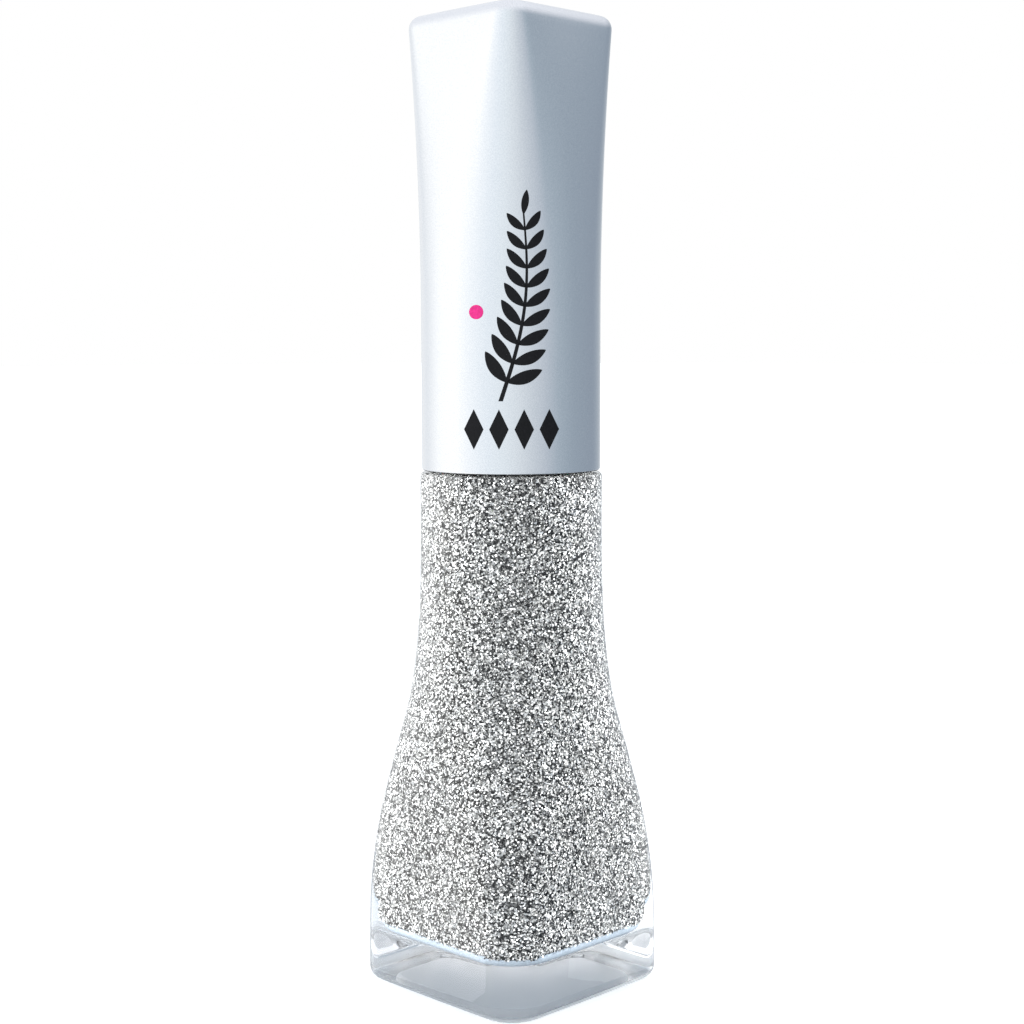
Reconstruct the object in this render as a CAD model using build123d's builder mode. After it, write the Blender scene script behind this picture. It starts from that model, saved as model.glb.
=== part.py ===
"""Nail polish bottle: a clear glass bottle that flares from a round neck to a rounded
square foot, filled with glitter polish, and a tall cap with a brush that screws off."""

from build123d import *

import math
import os

os.makedirs("parts", exist_ok=True)

# All sizes are in millimetres. The origin is the centre of the foot, +Z is up, and the
# flat sides of the foot and of the cap's top face +X, -X, +Y and -Y.

# Whole bottle
TOTAL_HEIGHT = 88.0
SEAM_HEIGHT = 47.25  # top of the glass shoulder, where the cap begins
RUNNING_GAP = 0.02  # between pieces that slide, turn or lie against each other

# Outline of a cross-section: round is one circle cut into eight arcs of 45 degrees
ROUND_SIDE_ANGLE = 22.5
FLAT_SIDE_ANGLE = 1.0

# Glass outside
SHOULDER_RADIUS = 8.3
FOOT_HALF_DIAGONAL = 13.3
FOOT_CORNER_RADIUS = 3.5
FOOT_EDGE_FILLET = 1.0
SHOULDER_EDGE_FILLET = 0.3
FOOT_RECESS_DEPTH = 0.4
FOOT_RECESS_SIDE = 14.6
FOOT_RECESS_CORNER_RADIUS = 2.4
FOOT_PAD_RADIUS = 0.8  # four low pads that the foot stands on, one in each corner
FOOT_PAD_HEIGHT = 0.1
FOOT_PAD_CENTRE = 7.5
# Height, and how far the section has gone from round (0) to rounded square (1)
FLARE = (
    (4.0, 1.0),
    (9.7, 0.953),
    (15.4, 0.786),
    (21.1, 0.508),
    (26.8, 0.212),
    (32.5, 0.062),
    (38.0, 0.010),
    (42.6, 0.0),
)

# Glass inside
FLOOR_HEIGHT = 4.7
CEILING_HEIGHT = 46.8
CAVITY_RADIUS = 7.2
CAVITY_HALF_DIAGONAL = 11.4
CAVITY_CORNER_RADIUS = 4.0
FLOOR_FILLET = 1.0
CEILING_FILLET = 0.6
BORE_RADIUS = 3.2
BORE_FILLET = 0.8

# Neck finish, 13 mm size
NECK_RADIUS = 5.7
NECK_TOP = 58.5
NECK_SKIRT_RADIUS = 6.9
NECK_SKIRT_HEIGHT = 0.9
LIP_FILLET = 0.5
THREAD_PITCH = 2.1
THREAD_TURNS = 1.5
THREAD_START = 52.6
THREAD_EMBED = 0.15  # how far each ridge is sunk into its wall
THREAD_FADE = 25  # degrees over which each end fades into the wall
THREAD_TRACE = 0.02  # what is left of the ridge's depth where it ends
NECK_THREAD_DEPTH = 0.8
NECK_THREAD_WIDTHS = (1.3, 0.6)  # at the root and at the crest
CAP_THREAD_DEPTH = 0.55
CAP_THREAD_WIDTHS = (1.0, 0.5)
THREAD_OFFSET = 0.86  # each cap ridge lies this far below a neck ridge

# Overcap
CAP_BOTTOM = 47.45
CAP_RADIUS = 8.13
CAP_FLARE_START = 61.0
CAP_LEAD_IN = -0.25  # the smooth surface starts this share of the flare below it
CAP_HOLLOW_END = 0.94  # share of the flare where the hollow ends
CAP_TOP_HALF_DIAGONAL = 9.17
CAP_TOP_CORNER_RADIUS = 1.95
CAP_TOP_FILLET = 1.3
CAP_EDGE_FILLET = 0.25
CAP_WALL = 1.4
CAP_SOCKET_RADIUS = 7.15
CAP_SOCKET_TOP = 61.0

# Inner cap
SKIRT_BOTTOM = 48.3
SKIRT_RADIUS = 7.0
SKIRT_BORE_RADIUS = 6.6
RIB_COUNT = 24
RIB_HEIGHT = 0.13
RIB_WIDTH = 0.5
LINER_THICKNESS = 0.8
LINER_RADIUS = 6.4
DISC_THICKNESS = 1.5
BOSS_RADIUS = 2.9
BOSS_HEIGHT = 3.5

# Brush
STEM_RADIUS = 1.55
STEM_HEAD_RADIUS = 2.2
STEM_HEAD_HEIGHT = 0.9
STEM_HEAD_LIP = 0.3
STEM_COLLAR_RADIUS = 2.8
STEM_COLLAR_HEIGHT = 1.1
STEM_BOTTOM = 20.5
STEM_CUP_RADIUS = 1.75
STEM_CUP_LENGTH = 6.0
STEM_CUP_TAPER = 1.0
TUFT_SOCKET_RADIUS = 1.25
TUFT_SOCKET_DEPTH = 4.0
TUFT_TIP = 7.2
TUFT_BELLY_RADIUS = 1.7
TUFT_BELLY_SHARE = 0.6  # how far down the tuft its belly is
STAPLE_RADIUS = 0.2
STAPLE_LENGTH = 3.3
STAPLE_DROP = 1.2  # below the top of the tuft's socket

# Polish and mixing balls
POLISH_TOP = 50.0
BRUSH_CHANNEL_RADIUS = 2.3
BALL_RADIUS = 2.0
BALL_TRAVEL = 10.0
BALL_CLEARANCE = 0.1
BALL_HEADROOM = 0.5
BALL_CENTRES = ((-4.6, 2.4), (4.6, -2.4))

# Heights in the closure, stacked up from the glass lip
LINER_BOTTOM = NECK_TOP + RUNNING_GAP
DISC_BOTTOM = LINER_BOTTOM + LINER_THICKNESS + RUNNING_GAP
DISC_TOP = DISC_BOTTOM + DISC_THICKNESS
BOSS_TOP = DISC_TOP + BOSS_HEIGHT
COLLAR_TOP = DISC_BOTTOM - RUNNING_GAP
HEAD_BOTTOM = BOSS_TOP + RUNNING_GAP
HEAD_TOP = HEAD_BOTTOM + STEM_HEAD_HEIGHT
CUP_TOP = STEM_BOTTOM + STEM_CUP_LENGTH
TUFT_SOCKET_TOP = STEM_BOTTOM + TUFT_SOCKET_DEPTH
STAPLE_HEIGHT = TUFT_SOCKET_TOP - STAPLE_DROP


def blend(start, end, share):
    """The value that lies share of the way from start to end."""
    return start + (end - start) * share


def outline(half_diagonal, corner_radius, side_angle):
    """A square outline of four side arcs and four corner arcs, all tangent."""
    sine = math.sin(math.radians(side_angle))
    cosine = math.cos(math.radians(side_angle))
    spread = (half_diagonal - corner_radius) / (math.sqrt(2) * sine)
    side_centre = Vector(spread * (sine - cosine), 0)
    corner_centre = Vector(spread * sine, spread * sine)
    corner_arc = 90 - 2 * side_angle
    with BuildLine() as loop:
        for turn in (0, 90, 180, 270):
            centre = side_centre.rotate(Axis.Z, turn)
            CenterArc(centre, corner_radius + spread, turn - side_angle, 2 * side_angle)
            centre = corner_centre.rotate(Axis.Z, turn)
            CenterArc(centre, corner_radius, turn + side_angle, corner_arc)
    make_face(loop.edges())


def body_outline(squareness):
    """The glass's outer section, from round to rounded square."""
    outline(
        blend(SHOULDER_RADIUS, FOOT_HALF_DIAGONAL, squareness),
        blend(SHOULDER_RADIUS, FOOT_CORNER_RADIUS, squareness),
        blend(ROUND_SIDE_ANGLE, FLAT_SIDE_ANGLE, squareness),
    )


def cavity_outline(squareness, gap):
    """The inside section, rounder than the outside, as blown glass is."""
    outline(
        blend(CAVITY_RADIUS, CAVITY_HALF_DIAGONAL, squareness) - gap,
        blend(CAVITY_RADIUS, CAVITY_CORNER_RADIUS, squareness) - gap,
        blend(ROUND_SIDE_ANGLE, 2 * FLAT_SIDE_ANGLE, squareness),
    )


def cap_outline(share, inset=0.0):
    """The overcap's section, share of the way up its flare: the corners grow out as the
    sides flatten inwards."""
    squareness = share**1.25
    outline(
        blend(CAP_RADIUS, CAP_TOP_HALF_DIAGONAL, share**2) - inset,
        blend(CAP_RADIUS, CAP_TOP_CORNER_RADIUS, squareness) - inset * (1 - squareness / 2),
        blend(ROUND_SIDE_ANGLE, FLAT_SIDE_ANGLE, squareness),
    )


def cavity(gap, bore_top):
    """The space inside the glass, gap in from its walls, up to bore_top in the neck."""
    stations = [(FLOOR_HEIGHT + gap, 1.0), *FLARE[1:], (CEILING_HEIGHT - gap, 0.0)]
    with BuildPart() as space:
        for height, squareness in stations:
            with BuildSketch(Plane.XY.offset(height)):
                cavity_outline(squareness, gap)
        loft()
        fillet(space.edges().group_by(Axis.Z)[0], FLOOR_FILLET)
        fillet(space.edges().group_by(Axis.Z)[-1], CEILING_FILLET)
        with BuildSketch(Plane.XY.offset(CEILING_HEIGHT - gap)):
            Circle(BORE_RADIUS - gap)
        extrude(amount=bore_top - CEILING_HEIGHT + gap)
        mouth = space.edges().filter_by(GeomType.CIRCLE)
        mouth = mouth.filter_by(lambda edge: abs(edge.radius - BORE_RADIUS + gap) < 0.001)
        fillet(mouth.group_by(Axis.Z)[0], BORE_FILLET)
    return space.part


def thread_section(wall_radius, depth, widths, height, angle):
    """A thread's section, on the half-plane at an angle around the axis."""
    root, crest = widths
    sunk = wall_radius - math.copysign(THREAD_EMBED, depth)
    outward = Vector(1, 0, 0).rotate(Axis.Z, angle)
    plane = Plane((0, 0, height), x_dir=outward, z_dir=outward.rotate(Axis.Z, -90))
    with BuildSketch(plane) as section:
        with BuildLine():
            Polyline(
                (sunk, -root / 2),
                (wall_radius, -root / 2),
                (wall_radius + depth, -crest / 2),
                (wall_radius + depth, crest / 2),
                (wall_radius, root / 2),
                (sunk, root / 2),
                close=True,
            )
        make_face()
    return section.sketch


def thread_ridge(wall_radius, depth, widths, start_height):
    """A right-hand helical ridge that stands depth proud of a wall and fades into it at
    both ends; a negative depth points to the axis."""
    full_ends = []
    faded_ends = []
    for angle, fade in ((0, -THREAD_FADE), (360 * THREAD_TURNS, THREAD_FADE)):
        height = start_height + THREAD_PITCH * angle / 360
        full_ends.append(thread_section(wall_radius, depth, widths, height, angle))
        angle += fade
        height = start_height + THREAD_PITCH * angle / 360
        trace = math.copysign(THREAD_TRACE, depth)
        faded_ends.append(thread_section(wall_radius, trace, widths, height, angle))
    with BuildPart() as ridge:
        with BuildLine() as path:
            Helix(THREAD_PITCH, THREAD_PITCH * THREAD_TURNS, wall_radius, (0, 0, start_height))
        sweep(full_ends[0], path=path.line, is_frenet=True)
        for full_end, faded_end in zip(full_ends, faded_ends):
            loft([full_end, faded_end])
    return ridge.part


# Glass bottle: flared body, sloped shoulder, threaded neck, and a foot with a recess
# between four low pads
neck_thread = thread_ridge(
    NECK_RADIUS, NECK_THREAD_DEPTH, NECK_THREAD_WIDTHS, THREAD_START
)
inside = cavity(0, NECK_TOP)
with BuildPart() as glass_bottle:
    for height, squareness in [(FOOT_PAD_HEIGHT, 1.0), *FLARE, (SEAM_HEIGHT, 0.0)]:
        with BuildSketch(Plane.XY.offset(height)):
            body_outline(squareness)
    loft()
    fillet(glass_bottle.edges().group_by(Axis.Z)[0], FOOT_EDGE_FILLET)
    fillet(glass_bottle.edges().group_by(Axis.Z)[-1], SHOULDER_EDGE_FILLET)
    with BuildSketch(Plane.XY.offset(FOOT_PAD_HEIGHT)):
        RectangleRounded(FOOT_RECESS_SIDE, FOOT_RECESS_SIDE, FOOT_RECESS_CORNER_RADIUS)
    extrude(amount=FOOT_RECESS_DEPTH, taper=45, mode=Mode.SUBTRACT)
    with BuildSketch(Plane.XY):
        with GridLocations(2 * FOOT_PAD_CENTRE, 2 * FOOT_PAD_CENTRE, 2, 2):
            Circle(FOOT_PAD_RADIUS)
    extrude(amount=FOOT_PAD_HEIGHT)
    for height, radius in ((0.0, NECK_SKIRT_RADIUS), (NECK_SKIRT_HEIGHT, NECK_RADIUS)):
        with BuildSketch(Plane.XY.offset(SEAM_HEIGHT + height)):
            Circle(radius)
    loft()
    with BuildSketch(Plane.XY.offset(SEAM_HEIGHT)):
        Circle(NECK_RADIUS)
    extrude(amount=NECK_TOP - SEAM_HEIGHT)
    fillet(glass_bottle.edges().group_by(Axis.Z)[-1], LIP_FILLET)
    add(inside, mode=Mode.SUBTRACT)
    fillet(glass_bottle.edges().group_by(Axis.Z)[-1].sort_by(SortBy.RADIUS)[0], LIP_FILLET)
    add(neck_thread)

# Nail polish: fills the glass to the foot of the neck, and leaves room for what moves in it
with BuildPart() as nail_polish:
    add(cavity(RUNNING_GAP, POLISH_TOP))
    with BuildSketch(Plane.XY.offset(FLOOR_HEIGHT)):
        Circle(BRUSH_CHANNEL_RADIUS)
    extrude(amount=POLISH_TOP - FLOOR_HEIGHT, mode=Mode.SUBTRACT)
    with BuildSketch(Plane.XY.offset(FLOOR_HEIGHT)):
        with Locations(*BALL_CENTRES):
            Circle(BALL_RADIUS + BALL_CLEARANCE)
    extrude(amount=2 * BALL_RADIUS + BALL_TRAVEL + BALL_HEADROOM, mode=Mode.SUBTRACT)

# Two steel balls that stir the polish when the bottle is shaken
mixing_balls = []
for x, y in BALL_CENTRES:
    with BuildPart(Plane.XY.offset(FLOOR_HEIGHT + BALL_RADIUS + RUNNING_GAP)) as ball:
        with Locations((x, y)):
            Sphere(BALL_RADIUS)
    mixing_balls.append(ball)

# Overcap: the decorative shell, a blind socket below and a closed hollow above
with BuildPart() as overcap:
    for share in (CAP_LEAD_IN, 0.0, 0.25, 0.5, 0.75, 1.0):
        with BuildSketch(Plane.XY.offset(blend(CAP_FLARE_START, TOTAL_HEIGHT, share))):
            cap_outline(max(share, 0.0))
    loft()
    with BuildSketch(Plane.XY.offset(CAP_BOTTOM)):
        cap_outline(0.0)
    extrude(amount=blend(CAP_FLARE_START, TOTAL_HEIGHT, CAP_LEAD_IN) - CAP_BOTTOM)
    fillet(overcap.edges().group_by(Axis.Z)[-1], CAP_TOP_FILLET)
    fillet(overcap.edges().group_by(Axis.Z)[0], CAP_EDGE_FILLET)
    with BuildSketch(Plane.XY.offset(CAP_BOTTOM)):
        Circle(CAP_SOCKET_RADIUS)
    extrude(amount=CAP_SOCKET_TOP - CAP_BOTTOM, mode=Mode.SUBTRACT)
    for share in (0.0, 0.25, 0.5, 0.75, CAP_HOLLOW_END):
        with BuildSketch(Plane.XY.offset(blend(CAP_FLARE_START, TOTAL_HEIGHT, share))):
            cap_outline(share, CAP_WALL)
    loft(mode=Mode.SUBTRACT)

# Inner cap: threaded skirt with grip ribs, sealing disc and a boss that holds the brush
cap_thread = thread_ridge(
    SKIRT_BORE_RADIUS, -CAP_THREAD_DEPTH, CAP_THREAD_WIDTHS, THREAD_START - THREAD_OFFSET
)
with BuildPart() as inner_cap:
    with BuildSketch(Plane.XY.offset(SKIRT_BOTTOM)):
        Circle(SKIRT_RADIUS)
        with PolarLocations(SKIRT_RADIUS, RIB_COUNT):
            Rectangle(2 * RIB_HEIGHT, RIB_WIDTH)
    extrude(amount=DISC_TOP - SKIRT_BOTTOM)
    with BuildSketch(Plane.XY.offset(DISC_TOP)):
        Circle(BOSS_RADIUS)
    extrude(amount=BOSS_TOP - DISC_TOP)
    fillet(inner_cap.edges().group_by(Axis.Z)[-1], LIP_FILLET)
    with BuildSketch(Plane.XY.offset(SKIRT_BOTTOM)):
        Circle(SKIRT_BORE_RADIUS)
    extrude(amount=DISC_BOTTOM - SKIRT_BOTTOM, mode=Mode.SUBTRACT)
    with BuildSketch(Plane.XY.offset(DISC_BOTTOM)):
        Circle(STEM_RADIUS + RUNNING_GAP)
    extrude(amount=BOSS_TOP - DISC_BOTTOM, mode=Mode.SUBTRACT)
    add(cap_thread)

# Sealing liner: a soft ring that lies on the glass lip under the inner cap's disc
with BuildPart() as sealing_liner:
    with BuildSketch(Plane.XY.offset(LINER_BOTTOM)):
        Circle(LINER_RADIUS)
        Circle(BORE_RADIUS, mode=Mode.SUBTRACT)
    extrude(amount=LINER_THICKNESS)

# Brush stem: snap head above the boss, collar in the liner, rod, and a cup for the tuft
with BuildPart() as brush_stem:
    with BuildSketch(Plane.XZ):
        with BuildLine():
            Polyline(
                (0, HEAD_TOP),
                (STEM_RADIUS, HEAD_TOP),
                (STEM_HEAD_RADIUS, HEAD_BOTTOM + STEM_HEAD_LIP),
                (STEM_HEAD_RADIUS, HEAD_BOTTOM),
                (STEM_RADIUS, HEAD_BOTTOM),
                (STEM_RADIUS, COLLAR_TOP),
                (STEM_COLLAR_RADIUS, COLLAR_TOP),
                (STEM_COLLAR_RADIUS, COLLAR_TOP - STEM_COLLAR_HEIGHT),
                (STEM_RADIUS, COLLAR_TOP - 2 * STEM_COLLAR_HEIGHT),
                (STEM_RADIUS, CUP_TOP),
                (STEM_CUP_RADIUS, CUP_TOP - STEM_CUP_TAPER),
                (STEM_CUP_RADIUS, STEM_BOTTOM),
                (0, STEM_BOTTOM),
                close=True,
            )
        make_face()
    revolve(axis=Axis.Z)
    with BuildSketch(Plane.XY.offset(STEM_BOTTOM)):
        Circle(TUFT_SOCKET_RADIUS)
    extrude(amount=TUFT_SOCKET_DEPTH, mode=Mode.SUBTRACT)
    with BuildSketch(Plane.XZ):
        with Locations((0, STAPLE_HEIGHT)):
            Circle(STAPLE_RADIUS + RUNNING_GAP)
    extrude(amount=STEM_CUP_RADIUS, both=True, mode=Mode.SUBTRACT)

# Bristle tuft: folded over the staple in its socket, fullest low down, round at the tip
with BuildPart() as bristles:
    root = TUFT_SOCKET_RADIUS - RUNNING_GAP
    root_top = TUFT_SOCKET_TOP - RUNNING_GAP
    belly_height = blend(STEM_BOTTOM, TUFT_TIP, TUFT_BELLY_SHARE)
    with BuildSketch(Plane.XZ):
        with BuildLine():
            Polyline((0, TUFT_TIP), (0, root_top), (root, root_top), (root, STEM_BOTTOM))
            Spline(
                (root, STEM_BOTTOM),
                (TUFT_BELLY_RADIUS, belly_height),
                (0, TUFT_TIP),
                tangents=((0.15, -1), (-1, 0)),
            )
        make_face()
    revolve(axis=Axis.Z)
    with BuildSketch(Plane.XZ):
        with Locations((0, STAPLE_HEIGHT)):
            Circle(STAPLE_RADIUS + RUNNING_GAP)
    extrude(amount=TUFT_SOCKET_RADIUS, both=True, mode=Mode.SUBTRACT)

# Bristle staple: the wire that pins the folded tuft in the stem
with BuildPart() as bristle_staple:
    with BuildSketch(Plane.XZ):
        with Locations((0, STAPLE_HEIGHT)):
            Circle(STAPLE_RADIUS)
    extrude(amount=STAPLE_LENGTH / 2, both=True)

pieces = {
    "glass_bottle": glass_bottle,
    "nail_polish": nail_polish,
    "mixing_ball_1": mixing_balls[0],
    "mixing_ball_2": mixing_balls[1],
    "overcap": overcap,
    "inner_cap": inner_cap,
    "sealing_liner": sealing_liner,
    "brush_stem": brush_stem,
    "bristle_staple": bristle_staple,
    "bristles": bristles,
}
for name, piece in pieces.items():
    piece.part.label = name
    export_step(piece.part, f"parts/{name}.step")
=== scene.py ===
"""Looks of the nail polish bottle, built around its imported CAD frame."""

import math

import bmesh
import bpy
import numpy as np
from mathutils import Euler, Matrix, Vector


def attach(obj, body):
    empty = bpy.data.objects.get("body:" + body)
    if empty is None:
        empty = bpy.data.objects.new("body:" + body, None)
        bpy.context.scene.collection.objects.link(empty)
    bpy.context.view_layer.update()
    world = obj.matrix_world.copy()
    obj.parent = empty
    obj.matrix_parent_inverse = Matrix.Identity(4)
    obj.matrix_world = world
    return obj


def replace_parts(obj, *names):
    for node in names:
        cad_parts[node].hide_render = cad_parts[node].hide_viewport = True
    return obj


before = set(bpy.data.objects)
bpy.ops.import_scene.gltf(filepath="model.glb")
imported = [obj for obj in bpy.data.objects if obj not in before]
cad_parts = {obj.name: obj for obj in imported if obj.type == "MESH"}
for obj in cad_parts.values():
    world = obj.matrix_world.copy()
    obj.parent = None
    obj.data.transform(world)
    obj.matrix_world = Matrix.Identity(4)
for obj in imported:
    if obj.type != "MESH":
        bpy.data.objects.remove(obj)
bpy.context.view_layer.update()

MM = 0.001
random = np.random.default_rng(7)

# ---------------------------------------------------------------- driving sizes, in mm
# They repeat the CAD sizes that the smooth visual skins follow, except where it says so.

ROUND_SIDE_ANGLE = 22.5
FLAT_SIDE_ANGLE = 1.0
SIDE_STEPS = 8
CORNER_STEPS = 14

SHOULDER_RADIUS = 8.3
FOOT_HALF_DIAGONAL = 13.3
FOOT_CORNER_RADIUS = 3.5
FOOT_EDGE_FILLET = 1.0
SHOULDER_EDGE_FILLET = 0.3
FOOT_RECESS_DEPTH = 0.4
FOOT_RECESS_HALF_DIAGONAL = 9.3
FOOT_RECESS_CORNER_RADIUS = 2.4
FOOT_PAD_RADIUS = 0.8
FOOT_PAD_CENTRE = 7.5
FOOT_PAD_HEIGHT = 0.1
FOOT_PAD_SINK = 0.15  # how far a visible pad reaches up into the foot
SEAM_HEIGHT = 47.25
FLARE = (  # height, and how far the glass has gone from round (0) to square (1) there
    (0.0, 1.0),
    (4.0, 1.0),
    (9.7, 0.953),
    (15.4, 0.786),
    (21.1, 0.508),
    (26.8, 0.212),
    (32.5, 0.062),
    (38.0, 0.010),
    (42.6, 0.0),
    (SEAM_HEIGHT, 0.0),
)

FLOOR_HEIGHT = 4.7
CEILING_HEIGHT = 47.0  # 0.2 above the CAD's, so that the flakes reach the seam
CAVITY_RADIUS = 7.2
CAVITY_HALF_DIAGONAL = 11.4
CAVITY_CORNER_RADIUS = 4.0
FLOOR_FILLET = 1.0
CEILING_FILLET = 0.4  # 0.6 in the CAD
BORE_RADIUS = 3.2
BORE_FILLET = 0.8
BORE_FOOT = CEILING_HEIGHT + 2 * BORE_FILLET  # the bore is straight from here up
POLISH_TOP = 50.0
# The outer lacquer bends light as glass does, so it is one clear body with the glass,
# and the flakes lie in it
LACQUER_DEPTH = 0.45

NECK_RADIUS = 5.7
NECK_TOP = 58.5
NECK_SKIRT_RADIUS = 6.9
NECK_SKIRT_HEIGHT = 0.9
LIP_FILLET = 0.5
THREAD_PITCH = 2.1
THREAD_TURNS = 1.5
THREAD_START = 52.6
THREAD_FADE = 25.0
THREAD_DEPTH = 0.8
THREAD_ROOT = 1.3
THREAD_CREST = 0.6

CAP_BOTTOM = 47.45
CAP_TOP = 88.0
CAP_RADIUS = 8.13
CAP_FLARE_START = 61.0
CAP_TOP_HALF_DIAGONAL = 9.17
CAP_TOP_CORNER_RADIUS = 1.95
CAP_TOP_FILLET = 1.3
CAP_EDGE_FILLET = 0.25
CAP_SOCKET_RADIUS = 7.15
CAP_SOCKET_TOP = 61.0


def blend(start, end, share):
    """The value that lies share of the way from start to end."""
    return start + (end - start) * share


# ---------------------------------------------------------------- sections and skins


def arc_terms(half_diagonal, corner_radius, side_angle):
    """Side arc centre and radius, and corner arc centre, of an eight-arc outline."""
    sine = math.sin(math.radians(side_angle))
    cosine = math.cos(math.radians(side_angle))
    spread = (half_diagonal - corner_radius) / (math.sqrt(2) * sine)
    return spread * (sine - cosine), corner_radius + spread, spread * sine


def outline(half_diagonal, corner_radius, side_angle):
    """Points of a square outline of four side arcs and four corner arcs, all tangent."""
    side_centre, side_radius, corner_centre = arc_terms(
        half_diagonal, corner_radius, side_angle
    )
    side = np.radians(np.linspace(-side_angle, side_angle, SIDE_STEPS, endpoint=False))
    corner = np.radians(
        np.linspace(side_angle, 90 - side_angle, CORNER_STEPS, endpoint=False)
    )
    quarter = np.concatenate(
        [
            side_centre + side_radius * np.exp(1j * side),
            corner_centre * (1 + 1j) + corner_radius * np.exp(1j * corner),
        ]
    )
    loop = np.concatenate([quarter * 1j**turn for turn in range(4)])
    return np.stack([loop.real, loop.imag], axis=1)


def ring(points, height):
    """A flat outline at a height, as rows of x, y, z."""
    return np.column_stack([points, np.full(len(points), height)])


def circle(radius, height):
    """A round ring, with as many points as the rounded squares have."""
    return ring(outline(radius, radius, ROUND_SIDE_ANGLE), height)


def squareness(height):
    """How far the glass has gone from round to square at a height: a smooth curve through
    FLARE, with the slopes that its rows give."""
    heights, values = np.array(FLARE).T
    slopes = np.gradient(values, heights)
    k = int(np.clip(np.searchsorted(heights, height) - 1, 0, len(heights) - 2))
    span = heights[k + 1] - heights[k]
    t = np.clip((height - heights[k]) / span, 0, 1)
    rise = t * t * (3 - 2 * t)
    start_bend = t * (1 - t) ** 2 * span * slopes[k]
    end_bend = t * t * (1 - t) * span * slopes[k + 1]
    return float(blend(values[k], values[k + 1], rise) + start_bend - end_bend)


def body_ring(height, inset=0.0):
    """The glass's outer section at a height."""
    s = squareness(height)
    points = outline(
        blend(SHOULDER_RADIUS, FOOT_HALF_DIAGONAL, s) - inset,
        blend(SHOULDER_RADIUS, FOOT_CORNER_RADIUS, s) - inset,
        blend(ROUND_SIDE_ANGLE, FLAT_SIDE_ANGLE, s),
    )
    return ring(points, height)


def cavity_ring(height, inset):
    """The glass's inner section at a height."""
    s = squareness(height)
    points = outline(
        blend(CAVITY_RADIUS, CAVITY_HALF_DIAGONAL, s) - inset,
        blend(CAVITY_RADIUS, CAVITY_CORNER_RADIUS, s) - inset,
        blend(ROUND_SIDE_ANGLE, 2 * FLAT_SIDE_ANGLE, s),
    )
    return ring(points, height)


def cap_ring(height, inset=0.0):
    """The overcap's section at a height: it turns square sooner than it widens."""
    share = max(0.0, (height - CAP_FLARE_START) / (CAP_TOP - CAP_FLARE_START))
    square = share**1.25
    points = outline(
        blend(CAP_RADIUS, CAP_TOP_HALF_DIAGONAL, share**2) - inset,
        blend(CAP_RADIUS, CAP_TOP_CORNER_RADIUS, square) - inset,
        blend(ROUND_SIDE_ANGLE, FLAT_SIDE_ANGLE, square),
    )
    return ring(points, height)


def fillet_steps(radius, steps):
    """(inset, rise) round a fillet, from a flat end face to the upright side."""
    angles = np.linspace(0, math.pi / 2, steps)
    return [(radius * (1 - math.sin(a)), radius * (1 - math.cos(a))) for a in angles]


def shrunk(edge_ring, shares):
    """Copies of a flat ring drawn in towards the axis, for a flat face."""
    return [edge_ring * [share, share, 1] for share in shares]


def new_object(name, vertices, faces, material, body, smooth=True):
    """A mesh object from millimetre points, riding on a CAD body."""
    mesh = bpy.data.meshes.new(name)
    mesh.from_pydata((np.asarray(vertices) * MM).tolist(), [], faces)
    mesh.polygons.foreach_set("use_smooth", [smooth] * len(mesh.polygons))
    mesh.materials.append(material)
    made = bpy.data.objects.new(name, mesh)
    bpy.context.scene.collection.objects.link(made)
    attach(made, body)
    return made


def face_outwards(obj):
    """Turns every face of a closed mesh outwards."""
    work = bmesh.new()
    work.from_mesh(obj.data)
    bmesh.ops.recalc_face_normals(work, faces=work.faces)
    work.to_mesh(obj.data)
    work.free()


def skin(name, rings, material, body):
    """One closed smooth surface through rings of equal point count, both ends capped."""
    count = len(rings[0])
    ends = [rings[0].mean(axis=0), rings[-1].mean(axis=0)]
    vertices = np.concatenate([*rings, ends])
    first, last = len(vertices) - 2, len(vertices) - 1
    step = np.arange(count)
    following = (step + 1) % count
    faces = [(first, b, a) for a, b in zip(step, following)]
    for row in range(len(rings) - 1):
        low, high = row * count, (row + 1) * count
        faces += [
            (low + a, low + b, high + b, high + a) for a, b in zip(step, following)
        ]
    top = (len(rings) - 1) * count
    faces += [(last, top + a, top + b) for a, b in zip(step, following)]
    faces = [tuple(int(v) for v in face) for face in faces]
    made = new_object(name, vertices, faces, material, body)
    face_outwards(made)
    return made


# ---------------------------------------------------------------- materials


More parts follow.
